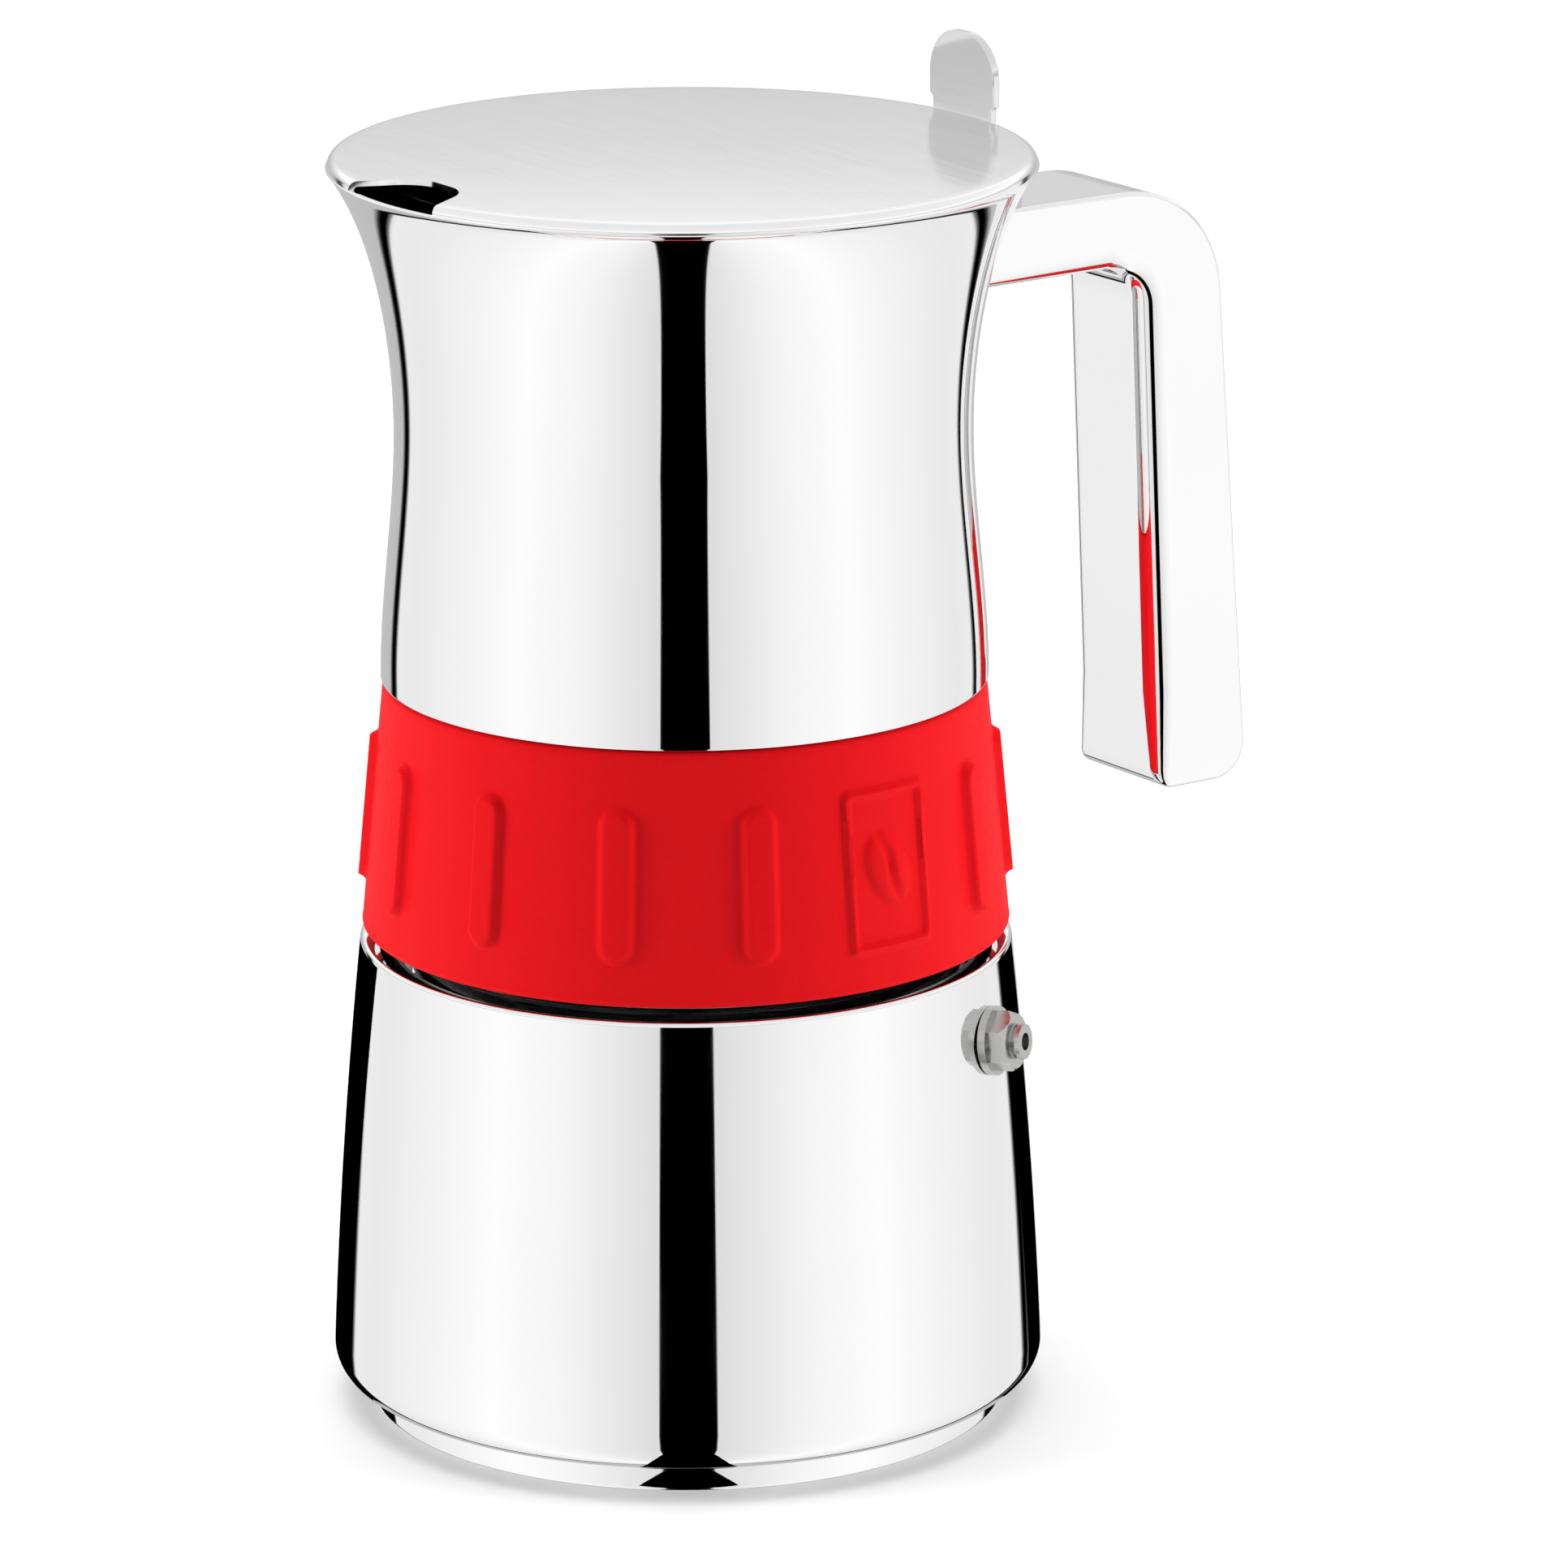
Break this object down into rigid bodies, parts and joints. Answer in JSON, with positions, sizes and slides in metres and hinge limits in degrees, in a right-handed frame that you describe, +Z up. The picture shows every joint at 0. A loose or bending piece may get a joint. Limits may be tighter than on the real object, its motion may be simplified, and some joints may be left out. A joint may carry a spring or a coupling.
{
  "type": "moka pot",
  "caption": "Stainless steel stove-top moka pot with waisted upper vessel, red silicone grip band, hooked handle, flat hinged lid and side safety valve.",
  "frame": {"origin": "centre of the foot's flat underside", "axes": "+Z up along the pot axis, +X towards the handle, spout at -X"},
  "size_m": [0.1499, 0.106, 0.2012],
  "materials": {
    "polished_steel": "mirror-polished stainless steel",
    "satin_steel": "satin stainless steel, spun or machined",
    "valve_metal": "nickel-plated brass, satin",
    "spring_steel": "drawn spring wire",
    "aluminium_core": "plain rolled aluminium",
    "red_silicone": "semi-matt moulded red silicone",
    "white_silicone": "matt translucent white silicone"
  },
  "bodies": {
    "boiler": {"boiler_shell": "polished_steel", "base_disc": "aluminium_core", "base_cap": "polished_steel", "valve_body": "valve_metal", "valve_seat": "valve_metal", "valve_spring": "spring_steel", "valve_seal": "white_silicone", "valve_nut": "valve_metal"},
    "valve_piston": {"valve_piston": "valve_metal"},
    "funnel": {"funnel_basket": "satin_steel", "funnel_sieve": "satin_steel", "funnel_tube": "satin_steel"},
    "gasket": {"gasket": "white_silicone"},
    "filter_plate": {"filter_plate": "satin_steel"},
    "collector": {"collector_shell": "polished_steel", "collector_floor": "satin_steel", "thread_ring": "satin_steel", "column": "satin_steel", "column_cap": "satin_steel", "silicone_band": "red_silicone", "handle_shell": "polished_steel", "handle_bracket": "satin_steel", "hinge_bracket": "satin_steel", "hinge_pin": "satin_steel"},
    "lid": {"lid": "polished_steel", "lid_lever": "polished_steel"}
  },
  "joints": [
    {"name": "funnel_lift", "type": "slide", "parent": "boiler", "child": "funnel", "axis": [0, 0, 1], "range_m": [0, 0.085]},
    {"name": "collector_lift", "type": "slide", "parent": "funnel", "child": "gasket", "axis": [0, 0, 1], "range_m": [0, 0.04]},
    {"name": "thread_rise", "type": "slide", "parent": "gasket", "child": "filter_plate", "axis": [0, 0, 1], "range_m": [0, 0.0081]},
    {"name": "collector_turn", "type": "hinge", "parent": "filter_plate", "child": "collector", "pos_m": [0, 0, 0], "axis": [0, 0, 1], "range_deg": [0, 720]},
    {"name": "lid_hinge", "type": "hinge", "parent": "collector", "child": "lid", "pos_m": [0.0542, 0, 0.183], "axis": [0, 1, 0], "range_deg": [0, 95]},
    {"name": "valve_lift", "type": "slide", "parent": "boiler", "child": "valve_piston", "axis": [0.4978, -0.8621, 0.0948], "range_m": [0, 0.002], "stiffness_N_per_m": 1500, "springref_m": -0.001, "deforming": ["valve_spring"]}
  ],
  "couplings": [
    {"joint": "thread_rise", "follows": "collector_turn", "m_per_rad": 0.00063662}
  ]
}
